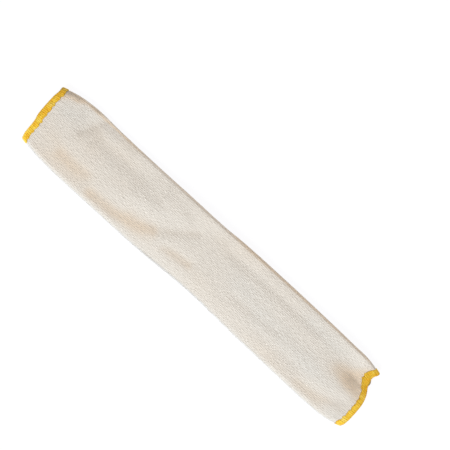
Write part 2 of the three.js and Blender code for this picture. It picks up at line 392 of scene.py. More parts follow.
@dataclass(frozen=True)
class SleeveForm:
    """The middle surface of the knitted wall, which the tube and the hems both follow."""

    half_length: float = 0.225
    wall: float = 0.0018
    sewn_wall: float = 0.0012
    thread_layer: float = 0.0007
    seat_gap: float = 0.0003
    hem_width: float = 0.0066
    edge_line_reach: float = 0.070
    hem_lift_reach: float = 0.018
    wall_swell_reach: float = 0.009
    under_fade: float = 0.0132
    crown_roundness: float = 1.5
    far_fold: float = 0.75
    slope_step: float = 0.001
    # Painted shading: shade on the furrows' dim side, dark shadow where the under layer shows past the upper
    # one, and a cool shade on the near fold that the hem there takes as painted light.
    dim_side: float = 0.5
    under_shade: float = 1500.0
    under_peek: float = 0.0004
    near_fold_shading: float = 2.4
    near_narrowness: int = 4
    pucker_height: float = 0.00024
    pucker_reach: float = 0.009
    flat_steps: int = 24
    fold_steps: int = 32
    top_steps: int = 160

    @property
    def hem_inside(self) -> float:
        """Distance from the wall's middle to the inner side of the thread."""
        return self.sewn_wall / 2.0 + self.seat_gap

    @property
    def hem_outside(self) -> float:
        """Distance from the wall's middle to the outer side of the thread."""
        return self.hem_inside + self.thread_layer

    def from_end(self, along: Array) -> Array:
        """Distance from the nearer end, before its edge is shaped."""
        return self.half_length - np.abs(along)

    def looseness(self, along: Array) -> Array:
        """How free the cloth is of a hem, from 0 under it to 1 past it."""
        return smoothstep(self.from_end(along), self.hem_width, self.wall_swell_reach)

    def section(self, name: str, along: Array) -> Array:
        """Read one measure of the sections as a smooth curve along the sleeve."""
        places = [section.along for section in SECTIONS]
        return curve_through(places, [getattr(section, name) for section in SECTIONS], along)

    def edge_inset(self, mouth: Mouth, across: Array) -> Array:
        """Read how far a mouth's edge stands back across the sleeve."""
        return curve_through(EDGE_LINES[mouth].across, EDGE_LINES[mouth].inset, across)

    def edge_shift(self, mouth: Mouth, distance: Array, across: Array) -> Array:
        """Find how far the cloth stands back because of a mouth's edge line.

        Args:
            mouth: The open end.
            distance: Distance from that end, before the edge is shaped.
            across: Place across the sleeve.

        Returns:
            The shift away from the end.
        """
        before = self.edge_inset(mouth, across - self.slope_step)
        after = self.edge_inset(mouth, across + self.slope_step)
        slope = (after - before) / (2.0 * self.slope_step)
        widening = (np.hypot(1.0, slope) - 1.0) * np.clip(distance, 0.0, self.hem_width)
        fade = 1.0 - smoothstep(distance, self.hem_width, self.edge_line_reach)
        return fade * (self.edge_inset(mouth, across) + widening)

    def furrow_depth(self, along: Array, across: Array) -> tuple[Array, Array]:
        """Add up the furrows pressed into the upper layer.

        Args:
            along: Places along the sleeve.
            across: Places across it.

        Returns:
            The depth at each place, and the painted shade on the side that the light leaves dim.
        """
        depth = np.zeros(across.shape)
        warmth = np.zeros(across.shape)
        for furrow in FURROWS:
            depth += furrow.depth * bell(furrow.distance(along, across), furrow.width)
            dim = furrow.distance(along, across + self.dim_side * furrow.width)
            warmth += furrow.warmth * bell(dim, furrow.width)
        return depth, warmth

    def under_reach(self, along: Array, across: Array) -> Array:
        """Find how far the under layer reaches out past the upper one.

        Args:
            along: Places along the sleeve, as a column.
            across: Places across it.

        Returns:
            The shift along X at each place.
        """
        near_end = 1.0 - smoothstep(self.from_end(along), 0.0, self.under_fade)
        shift = np.sign(along) * self.under_peek * near_end + np.zeros(across.shape)
        for edge in UNDER_EDGES:
            fade = 1.0 - smoothstep(self.half_length - edge.mouth.value * along, 0.0, self.under_fade)
            shift += edge.mouth.value * edge.reach * fade * bell(across - edge.across, edge.spread)
        return shift

    def half_wall(self, along: Array) -> Array:
        """Half the wall's thickness, thinner where the hem presses it."""
        return mix(self.sewn_wall, self.wall, self.looseness(along)) / 2.0

    def pucker(self, along: Array, turns: Array) -> Array:
        """Find how far the gathers stand out that run lengthwise from each hem and die away."""
        fade = np.exp(-np.maximum(self.from_end(along) - self.hem_width, 0.0) / self.pucker_reach)
        return self.pucker_height * fade * uneven(GATHERS, turns, np.sign(along))

    def trace(self, along: Array) -> tuple[Array, Array]:
        """Trace the middle of the wall round the sleeve, from the middle of the under layer.

        Args:
            along: Places along the sleeve, rising.

        Returns:
            The points of each outline, and the painted shading and tone at each point.
        """
        places = along[:, None]
        radius = self.section("fold", places) / 2.0
        high_centre = self.section("high", places) - radius
        low_centre = self.section("low", places) + radius
        middle = (high_centre + low_centre) / 2.0
        half_width = (high_centre - low_centre) / 2.0
        flat = np.linspace(0.0, 1.0, self.flat_steps, endpoint=False)[None, :]
        arc = np.linspace(0.0, math.pi, self.fold_steps, endpoint=False)[None, :]
        side = np.linspace(1.0, -1.0, self.top_steps, endpoint=False)[None, :]
        stretches = [
            mix(middle, high_centre, flat),
            high_centre + radius * np.power(np.sin(arc), self.far_fold),
            middle + half_width * side,
            low_centre - radius * np.sin(arc),
            mix(low_centre, middle, flat),
        ]
        across = np.concatenate(stretches, axis=1)
        level = 0.0 * radius * flat
        far_side = radius * (1.0 - np.cos(arc))
        crown = self.section("crown", places) * np.power(1.0 - side * side, self.crown_roundness)
        near_side = radius * (1.0 + np.cos(arc))
        rise = np.concatenate([level, far_side, 2.0 * radius + crown, near_side, level], axis=1)
        near_fold = np.zeros(across.shape)
        near_fold[:, -self.flat_steps - self.fold_steps : -self.flat_steps] = np.sin(arc)
        lift = 1.0 - smoothstep(self.from_end(places), self.hem_width, self.hem_lift_reach)
        shift = self.edge_shift(Mouth.STRAIGHT, self.half_length + places, across)
        shift = shift - self.edge_shift(Mouth.WAVY, self.half_length - places, across)
        reach = (1.0 - smoothstep(rise / radius, 0.0, 1.0)) * self.under_reach(places, across)
        lengthwise = places + shift + reach
        depth, warmth = self.furrow_depth(lengthwise, across)
        upper = smoothstep(rise / radius, 1.0, 2.0)
        height = mix(self.wall / 2.0, self.hem_outside, lift) + rise - depth * upper
        # Painted shade: the furrows' tint on the upper layer, dark shadow where the under layer shows, and
        # cooler shade on the near fold.
        warmth = warmth * upper + self.under_shade * np.abs(reach)
        warmth = warmth - self.near_fold_shading * near_fold**self.near_narrowness
        return np.stack([lengthwise, across, height], axis=2), warmth

    def skin(self, along: Array, turns: Array) -> Skin:
        """Lay a grid on the middle of the wall.

        Args:
            along: Places of the rows along the sleeve, rising.
            turns: Places of the columns round it, as rising shares of a turn.

        Returns:
            The grid's points, directions and painted shading and tone.
        """
        outline, outline_painted_shading = self.trace(along)
        closed = np.concatenate([outline, outline[:, :1]], axis=1)
        closed_painted_shading = np.concatenate([outline_painted_shading, outline_painted_shading[:, :1]], axis=1)
        run = np.cumsum(np.linalg.norm(np.diff(closed[..., 1:], axis=1), axis=2), axis=1)
        run = np.pad(run, ((0, 0), (1, 0))) / run[:, -1:]
        points = np.empty((len(along), len(turns), 3))
        warmth = np.empty((len(along), len(turns)))
        for row in range(len(along)):
            for axis in range(3):
                points[row, :, axis] = np.interp(turns, run[row], closed[row, :, axis])
            warmth[row] = np.interp(turns, run[row], closed_painted_shading[row])
        around = unit(np.roll(points, -1, axis=1) - np.roll(points, 1, axis=1))
        normals = unit(np.cross(around, np.gradient(points, along, axis=0)))
        points = points + normals * self.pucker(along[:, None], turns[None, :])[..., None]
        return Skin(points, normals, around, warmth)


def deselect_all() -> None:
    """Clear the selection in object mode."""
    bpy.ops.object.select_all(action="DESELECT")


def pick(*pieces: Piece) -> None:
    """Select only these pieces, with the first one active.

    Args:
        pieces: The pieces that the next operator acts on.
    """
    deselect_all()
    for piece in pieces:
        piece.select_set(True)
    bpy.context.view_layer.objects.active = pieces[0]


@contextmanager
def editing(piece: Piece, whole: bool = True) -> Iterator[None]:
    """Work on a piece in edit mode.

    Args:
        piece: The piece to work on.
        whole: Whether all of it is selected first.

    Yields:
        Nothing, once edit mode is on.
    """
    pick(piece)
    bpy.ops.object.mode_set(mode="EDIT")
    if whole:
        bpy.ops.mesh.select_all(action="SELECT")
    yield
    bpy.ops.object.mode_set(mode="OBJECT")


def points_of(piece: Piece) -> Array:
    """Read a piece's points as rows of an array.

    Args:
        piece: The piece to read.

    Returns:
        One row for each point.
    """
    points = np.empty(len(piece.data.vertices) * 3)
    piece.data.vertices.foreach_get("co", points)
    return points.reshape(-1, 3)


def move_points(piece: Piece, points: Array) -> None:
    """Move a piece's points to new places."""
    piece.data.vertices.foreach_set("co", points.ravel())
    piece.data.update()


def keep_values(piece: Piece, name: str, values: Array) -> None:
    """Keep one value for each point of a piece, for its material to read."""
    layer = piece.data.attributes.new(name, "FLOAT", "POINT")
    layer.data.foreach_set("value", values.astype(np.float32))


def add_grid(name: str, columns: int, rows: int) -> tuple[Piece, Array, Array]:
    """Add a flat grid with its own flat map.

    Args:
        name: The grid's name.
        columns: How many faces it has along X.
        rows: How many it has along Y.

    Returns:
        The grid, and the column and the row of each of its points.
    """
    deselect_all()
    bpy.ops.mesh.primitive_grid_add(x_subdivisions=columns, y_subdivisions=rows, size=1.0, calc_uvs=True)
    grid = bpy.context.active_object
    grid.name = name
    grid.data.name = name
    grid.data.uv_layers[0].name = UV_NAME
    place = np.rint((points_of(grid)[:, :2] + 0.5) * (columns, rows)).astype(int)
    return grid, place[:, 0], place[:, 1]


def close_seam(piece: Piece) -> None:
    """Merge the points that meet where a piece is rolled up."""
    with editing(piece):
        bpy.ops.mesh.remove_doubles(threshold=MERGE_DISTANCE)


def finish_mesh(piece: Piece, material: bpy.types.Material) -> None:
    """Turn a closed mesh's faces outwards, smooth it and give it its material.

    Args:
        piece: The finished piece.
        material: The only material that it takes.
    """
    with editing(piece):
        bpy.ops.mesh.normals_make_consistent(inside=False)
    bpy.ops.object.shade_smooth()
    piece.data.materials.clear()
    piece.data.materials.append(material)


def colour(red: float, green: float, blue: float) -> Rgba:
    """Make a full colour of three linear shares."""
    return (red, green, blue, 1.0)


@dataclass(frozen=True)
class Tint:
    """A colour that comes in as a pattern goes from one value to another, up to a share."""

    tone: Rgba
    start: float
    end: float
    share: float = 1.0


class NodeGraph:
    """Short calls for adding and joining the nodes of one tree."""

    def __init__(self, tree: bpy.types.NodeTree) -> None:
        """Start from an empty tree."""
        self.tree = tree
        tree.nodes.clear()

    def feed(self, socket: Socket, value: object) -> None:
        """Link a socket to another, or set it where the value is plain.

        Args:
            socket: The input to feed.
            value: What it takes.
        """
        if isinstance(value, Socket):
            self.tree.links.new(value, socket)
        else:
            socket.default_value = value

    def node(self, kind: str, inputs: Inputs | None = None, **settings: object) -> bpy.types.Node:
        """Add a node.

        Args:
            kind: The node's type.
            inputs: Sockets or plain values for its inputs.
            settings: Properties to set on it.

        Returns:
            The new node.
        """
        made = self.tree.nodes.new(kind)
        for name, value in settings.items():
            setattr(made, name, value)
        for name, value in (inputs or {}).items():
            self.feed(made.inputs[name], value)
        return made

    def calc(self, operation: str, *values: object) -> Socket:
        """Work out a value with a Math node."""
        return self.node("ShaderNodeMath", dict(enumerate(values)), operation=operation).outputs["Value"]

    def spread(self, value: Socket, low: float, high: float, start: float = 0.0, end: float = 1.0) -> Socket:
        """Map a value smoothly from one range to another, held at its ends.

        Args:
            value: The value to map.
            low: Start of its range.
            high: End of its range.
            start: What the low value becomes.
            end: What the high value becomes.

        Returns:
            The result's socket.
        """
        ends = {"From Min": low, "From Max": high, "To Min": start, "To Max": end}
        made = self.node("ShaderNodeMapRange", {"Value": value, **ends}, interpolation_type="SMOOTHSTEP")
        return made.outputs["Result"]

    def blend(self, share: object, first: object, second: object) -> Socket:
        """Blend two colours.

        Args:
            share: How much of the second one shows.
            first: The colour at 0.
            second: The colour at 1.

        Returns:
            The result's socket.
        """
        made = self.node("ShaderNodeMix", {"Factor": share}, data_type="RGBA")
        for socket, value in zip((s for s in made.inputs if s.type == "RGBA"), (first, second)):
            self.feed(socket, value)
        return next(s for s in made.outputs if s.type == "RGBA")

    def tinted(self, base: object, pattern: Socket, tint: Tint) -> Socket:
        """Let a tint into a colour where a pattern says."""
        return self.blend(self.spread(pattern, tint.start, tint.end, 0.0, tint.share), base, tint.tone)

    def place_on(self, stretch: Xyz = (1.0, 1.0, 1.0)) -> Socket:
        """Read the place on the object, each axis scaled by its own number."""
        place = self.node("ShaderNodeTexCoord").outputs["Object"]
        return self.node("ShaderNodeMapping", {"Vector": place, "Scale": stretch}).outputs["Vector"]

    def noise(self, place: Socket, scale: object = 1.0, detail: float = 2.0) -> Socket:
        """Add a noise pattern of a given fineness and count of finer layers."""
        inputs = {"Vector": place, "Scale": scale, "Detail": detail}
        return self.node("ShaderNodeTexNoise", inputs).outputs["Fac"]

    def chance(self, dimensions: str, **place: Socket) -> Socket:
        """Draw a value from 0 to 1 for each place."""
        return self.node("ShaderNodeTexWhiteNoise", place, noise_dimensions=dimensions).outputs["Value"]

    def own_uv(self) -> tuple[Socket, Socket]:
        """Read the piece's own flat place.

        Returns:
            The place's two sockets.
        """
        place = self.node("ShaderNodeUVMap", uv_map=UV_NAME).outputs["UV"]
        parts = self.node("ShaderNodeSeparateXYZ", {"Vector": place}).outputs
        return parts["X"], parts["Y"]

    def kept_value(self, name: str) -> Socket:
        """Read a value that was kept for each point of the piece."""
        return self.node("ShaderNodeAttribute", attribute_name=name).outputs["Fac"]

    def effect(self, effect: SharedEffect, inputs: Inputs) -> bpy.types.NodeOutputs:
        """Place a shared effect with its own values."""
        return self.node("ShaderNodeGroup", inputs, node_tree=bpy.data.node_groups[effect.value]).outputs


class EffectGraph(NodeGraph):
    """The nodes of one shared effect."""

    def __init__(self, effect: SharedEffect, inputs: tuple[str, ...], outputs: tuple[str, ...]) -> None:
        """Start a node group with named sockets.

        Args:
            effect: Which effect it is.
            inputs: Names of its inputs, all values.
            outputs: Names of its outputs, all values.
        """
        super().__init__(bpy.data.node_groups.new(effect.value, "ShaderNodeTree"))
        for names, way in ((inputs, "INPUT"), (outputs, "OUTPUT")):
            for name in names:
                self.tree.interface.new_socket(name=name, in_out=way, socket_type="NodeSocketFloat")
        self.given = self.node("NodeGroupInput").outputs


@dataclass(frozen=True)
class SharedEffects:
    """Builds the effects that the knit and the thread both use."""

    fuzz_detail: float = 3.0
    mottle_detail: float = 2.0

    def build(self) -> None:
        """Make both groups."""
        self.build_fuzz()
        self.build_twist()

    def build_fuzz(self) -> None:
        """Loose cotton fibres: fine specks of light and shade, and a broader mottle."""
        graph = EffectGraph(SharedEffect.FUZZ, ("Fineness", "Mottle Fineness"), ("Fuzz", "Mottle"))
        place = graph.place_on()
        fuzz = graph.noise(place, graph.given["Fineness"], self.fuzz_detail)
        mottle = graph.noise(place, graph.given["Mottle Fineness"], self.mottle_detail)
        graph.node("NodeGroupOutput", {"Fuzz": fuzz, "Mottle": mottle})

    def build_twist(self) -> None:
        """The slanting ridges of plies twisted into a yarn, from 0 to 1."""
        graph = EffectGraph(SharedEffect.TWIST, ("Along", "Around", "Turns"), ("Ridge",))
        wound = graph.calc("MULTIPLY_ADD", graph.given["Along"], graph.given["Turns"], graph.given["Around"])
        wave = graph.calc("SINE", graph.calc("MULTIPLY", wound, FULL_TURN))
        graph.node("NodeGroupOutput", {"Ridge": graph.calc("MULTIPLY_ADD", wave, 0.5, 0.5)})


class MaterialGraph(NodeGraph):
    """The nodes of one material, with its shader."""

    def __init__(self, name: str, fixed: Inputs) -> None:
        """Start a material.

        Args:
            name: The material's name.
            fixed: The shader's values that are the same all over, by socket.
        """
        self.material = bpy.data.materials.new(name)
        self.material.use_nodes = True
        super().__init__(self.material.node_tree)
        self.shader = self.node("ShaderNodeBsdfPrincipled", fixed)
        self.node("ShaderNodeOutputMaterial", {"Surface": self.shader.outputs["BSDF"]})


@dataclass(frozen=True)
class YarnGrain:
    """How a yarn takes the light: its sheen, its loose fibres, its roughness and its relief."""

    sheen: float
    sheen_roughness: float
    specular: float
    fuzz_fineness: float
    mottle_fineness: float
    smoothest: float
    roughest: float
    bump_strength: float
    bump_height: float
    mottle_low: float = 0.3
    mottle_high: float = 0.7
    fuzz_relief: float = 0.5


class YarnGraph(MaterialGraph):
    """The nodes of a yarn's material, with loose fibres all over it."""

    def __init__(self, name: str, grain: YarnGrain) -> None:
        """Start the material.

        Args:
            name: The material's name.
            grain: How the yarn takes the light.
        """
        sheen = {"Sheen Weight": grain.sheen, "Sheen Roughness": grain.sheen_roughness}
        super().__init__(name, {**sheen, "Specular IOR Level": grain.specular})
        self.grain = grain
        scales = {"Fineness": grain.fuzz_fineness, "Mottle Fineness": grain.mottle_fineness}
        self.fuzz = self.effect(SharedEffect.FUZZ, scales)

    def dress(self, tone: Socket, relief: Socket) -> bpy.types.Material:
        """Give the shader its colour, roughness and relief.

        Args:
            tone: The yarn's colour.
            relief: The height of its pattern.

        Returns:
            The finished material.
        """
        grain = self.grain
        mottle = (self.fuzz["Mottle"], grain.mottle_low, grain.mottle_high)
        height = self.calc("MULTIPLY_ADD", self.fuzz["Fuzz"], grain.fuzz_relief, relief)
        size = {"Strength": grain.bump_strength, "Distance": grain.bump_height}
        bump = self.node("ShaderNodeBump", {**size, "Height": height})
        self.feed(self.shader.inputs["Base Color"], tone)
        self.feed(self.shader.inputs["Roughness"], self.spread(*mottle, grain.smoothest, grain.roughest))
        self.feed(self.shader.inputs["Normal"], bump.outputs["Normal"])
        return self.material


@dataclass(frozen=True)
class StitchMap:
    """What the knit's pattern gives at each place: its relief, its yarn's height, and the leg's own tone."""

    relief: Socket
    height: Socket
    tone: Socket


@dataclass(frozen=True)
class CottonKnitFinish:
    """Undyed cotton string knit: matt, fuzzy, with lengthwise wales of V stitches."""

    wales: int
    courses: int
    cream: Rgba = colour(0.852, 0.804, 0.747)
    shade: Rgba = colour(0.480, 0.430, 0.375)
    fleck: Rgba = colour(0.300, 0.220, 0.140)
    # Painted shading by the kept values: tan on the furrows' dim sides and in patches, grey and cool below
    # 0, brown shade along the far fold and the corners.
    tan: Tint = Tint(colour(0.865, 0.705, 0.545), -0.10, 1.00)
    grey: Tint = Tint(colour(0.818, 0.796, 0.758), -0.02, -0.80)
    cool: Tint = Tint(colour(0.745, 0.755, 0.775), -1.00, -2.00)
    brown: Tint = Tint(colour(0.400, 0.335, 0.265), 0.80, 2.20, 0.80)
    streak: Tint = Tint(shade, 0.45, 0.85, 0.20)
    lint: Tint = Tint(shade, 0.50, 0.85, 0.14)
    # Painted shade in the gaps between the legs, where the yarn lies low.
    gap_shade: Tint = Tint(shade, 0.45, 0.00, 0.30)
    leg_shade: float = 0.60
    patch_grain: Xyz = (12.0, 30.0, 30.0)
    patch_swing: float = 0.9
    streak_grain: Xyz = (150.0, 620.0, 620.0)
    fleck_fineness: float = 75.0
    fleck_edge: float = 0.075
    fleck_heart: float = 0.03
    fleck_rarity: float = 0.95
    fleck_share: float = 0.5
    leg_place: float = 0.2
    leg_lean: float = 1.3
    leg_reach: float = 0.26
    neck_height: float = 0.25
    ply_slant: float = 4.0
    ply_turns: float = 2.0
    ply_relief: float = 0.18
    grain: YarnGrain = YarnGrain(
        sheen=0.05, sheen_roughness=0.55, specular=0.15, fuzz_fineness=2400.0, mottle_fineness=260.0,
        smoothest=0.86, roughest=0.96, bump_strength=0.7, bump_height=0.00030,
    )

    def stitches(self, graph: YarnGraph) -> StitchMap:
        """Lay the V stitches on the tube's flat map.

        Args:
            graph: The material's graph.

        Returns:
            The stitches' sockets.
        """
        round_place, long_place = graph.own_uv()
        wales = graph.calc("MULTIPLY", round_place, float(self.wales))
        courses = graph.calc("MULTIPLY", long_place, float(self.courses))
        sideways = graph.calc("SUBTRACT", graph.calc("FRACT", wales), 0.5)
        off_centre = graph.calc("ABSOLUTE", sideways)
        off_leg = graph.calc("SUBTRACT", off_centre, self.leg_place)
        leaning = graph.calc("SUBTRACT", courses, graph.calc("MULTIPLY", off_leg, self.leg_lean))
        leaning = graph.calc("ADD", leaning, 0.5)
        leg = graph.calc("FRACT", leaning)
        crest = graph.calc("SINE", graph.calc("MULTIPLY", leg, math.pi))
        rib = graph.spread(graph.calc("ABSOLUTE", off_leg), self.leg_reach, 0.0)
        swell = graph.calc("MULTIPLY_ADD", crest, 1.0 - self.neck_height, self.neck_height)
        height = graph.calc("MULTIPLY", rib, swell)
        around = graph.calc("MULTIPLY", off_centre, self.ply_slant)
        twist = {"Along": leg, "Around": around, "Turns": self.ply_turns}
        ridge = graph.effect(SharedEffect.TWIST, twist)["Ridge"]
        cell = {"X": graph.calc("FLOOR", wales), "Y": graph.calc("FLOOR", leaning)}
        chance = graph.chance("2D", Vector=graph.node("ShaderNodeCombineXYZ", cell).outputs["Vector"])
        swing = graph.calc("MULTIPLY", graph.calc("SIGN", sideways), graph.calc("SUBTRACT", chance, 0.5))
        share = graph.kept_value("stitch_share")
        tone = graph.calc("MULTIPLY_ADD", swing, share, 0.5)
        relief = graph.calc("MULTIPLY_ADD", ridge, self.ply_relief, height)
        return StitchMap(graph.calc("MULTIPLY", relief, share), height, tone)

    def flecks(self, graph: YarnGraph) -> Socket:
        """Scatter the few dark bits of husk that raw cotton holds.

        Args:
            graph: The material's graph.

        Returns:
            How much of a fleck shows at each place.
        """
        inputs = {"Vector": graph.place_on(), "Scale": self.fleck_fineness}
        cells = graph.node("ShaderNodeTexVoronoi", inputs).outputs
        near = graph.spread(cells["Distance"], self.fleck_edge, self.fleck_heart)
        chance = graph.node("ShaderNodeSeparateColor", {"Color": cells["Color"]}).outputs["Red"]
        few = graph.calc("GREATER_THAN", chance, self.fleck_rarity)
        return graph.calc("MULTIPLY", graph.calc("MULTIPLY", near, few), self.fleck_share)

    def build(self) -> bpy.types.Material:
        """Make the material.

        Returns:
            The knit's material.
        """
        graph = YarnGraph("cotton_knit_finish", self.grain)
        knit = self.stitches(graph)
        patches = graph.noise(graph.place_on(self.patch_grain))
        wander = graph.calc("MULTIPLY_ADD", patches, self.patch_swing, -self.patch_swing / 2.0)
        # Painted shading kept on the points, plus random patches of tone.
        warmth = graph.calc("ADD", graph.kept_value("warmth"), wander)
        tone = self.cream
        for tint in (self.tan, self.grey, self.cool, self.brown):
            tone = graph.tinted(tone, warmth, tint)
        tone = graph.blend(graph.calc("MULTIPLY", knit.tone, self.leg_shade), tone, self.shade)
        tone = graph.tinted(tone, graph.noise(graph.place_on(self.streak_grain)), self.streak)
        tone = graph.tinted(tone, graph.fuzz["Fuzz"], self.lint)
        # Painted shade between the legs of the stitches.
        tone = graph.tinted(tone, knit.height, self.gap_shade)
        return graph.dress(graph.blend(self.flecks(graph), tone, self.fleck), knit.relief)


@dataclass(frozen=True)
class OverlockThreadFinish:
    """Golden yellow overlock thread with a soft sheen, with painted shade deeper in the gaps, painted shadow
    where it is hidden, and painted light where it faces the lamp.
    """

    pale: Rgba = colour(1.000, 0.805, 0.210)
    bright: Rgba = colour(1.000, 0.715, 0.072)
    warm: Rgba = colour(0.960, 0.540, 0.030)
    # Colours of painted shade and painted shadow.
    deep: Rgba = colour(0.560, 0.280, 0.014)
    gloom: Rgba = colour(0.230, 0.150, 0.038)
    warm_patch: Tint = Tint(warm, 0.47, 0.70, 0.85)
    pale_patch: Tint = Tint(pale, 0.46, 0.28, 0.60)
    # Painted shade in the ply grooves and where the thread lies low, painted light on the side that faces
    # the lamp, and painted shadow at the rim and where the under layer shows.
    ply_gap_shade: Tint = Tint(deep, 0.50, 0.00, 0.14)
    sunk_shade: Tint = Tint(deep, 0.05, 0.75, 0.44)
    lit: Tint = Tint(pale, -0.02, -0.40, 0.60)
    hidden_shadow: Tint = Tint(gloom, 1.00, 2.00, 0.68)
    loop_change: float = 0.36
    patch_grain: Xyz = (190.0, 190.0, 190.0)
    patch_detail: float = 1.0
    ply_turns: float = 9.0
    grain: YarnGrain = YarnGrain(
        sheen=0.05, sheen_roughness=0.4, specular=0.2, fuzz_fineness=3200.0, mottle_fineness=320.0,
        smoothest=0.5, roughest=0.68, bump_strength=0.6, bump_height=0.00012,
    )

    def build(self) -> bpy.types.Material:
        """Make the material.

        Returns:
            The thread's material.
        """
        graph = YarnGraph("overlock_thread_finish", self.grain)
        along, around = graph.own_uv()
        twist = {"Along": along, "Around": around, "Turns": self.ply_turns}
        ridge = graph.effect(SharedEffect.TWIST, twist)["Ridge"]
        chance = graph.chance("1D", W=graph.calc("FLOOR", along))
        tone = graph.blend(graph.calc("MULTIPLY", chance, self.loop_change), self.bright, self.warm)
        patches = graph.noise(graph.place_on(self.patch_grain), detail=self.patch_detail)
        for tint in (self.warm_patch, self.pale_patch):
            tone = graph.tinted(tone, patches, tint)
        # Painted shade in the ply grooves, and painted shading by how deep and hidden the thread lies.
        tone = graph.tinted(tone, ridge, self.ply_gap_shade)
        depth = graph.kept_value("depth")
        for tint in (self.sunk_shade, self.lit, self.hidden_shadow):
            tone = graph.tinted(tone, depth, tint)
        return graph.dress(tone, ridge)


@dataclass(frozen=True)
class FloorFinish:
    """Plain pale floor that glows a little, as a lit white table does, with the faintest mottle."""

    pale: Rgba = colour(0.12, 0.12, 0.12)
    paler: Rgba = colour(0.13, 0.13, 0.13)
    glow_colour: Rgba = colour(0.985, 0.985, 1.0)
    glow: float = 0.90
    roughness: float = 0.9
    specular: float = 0.1
    mottle_grain: Xyz = (3.0, 3.0, 3.0)

    def build(self) -> bpy.types.Material:
        """Make the material.

        Returns:
            The floor's material.
        """
        glow = {"Emission Color": self.glow_colour, "Emission Strength": self.glow}
        fixed = {"Roughness": self.roughness, "Specular IOR Level": self.specular, **glow}
        graph = MaterialGraph("pale_floor_finish", fixed)
        tone = graph.blend(graph.noise(graph.place_on(self.mottle_grain)), self.pale, self.paler)
        graph.feed(graph.shader.inputs["Base Color"], tone)
        return graph.material


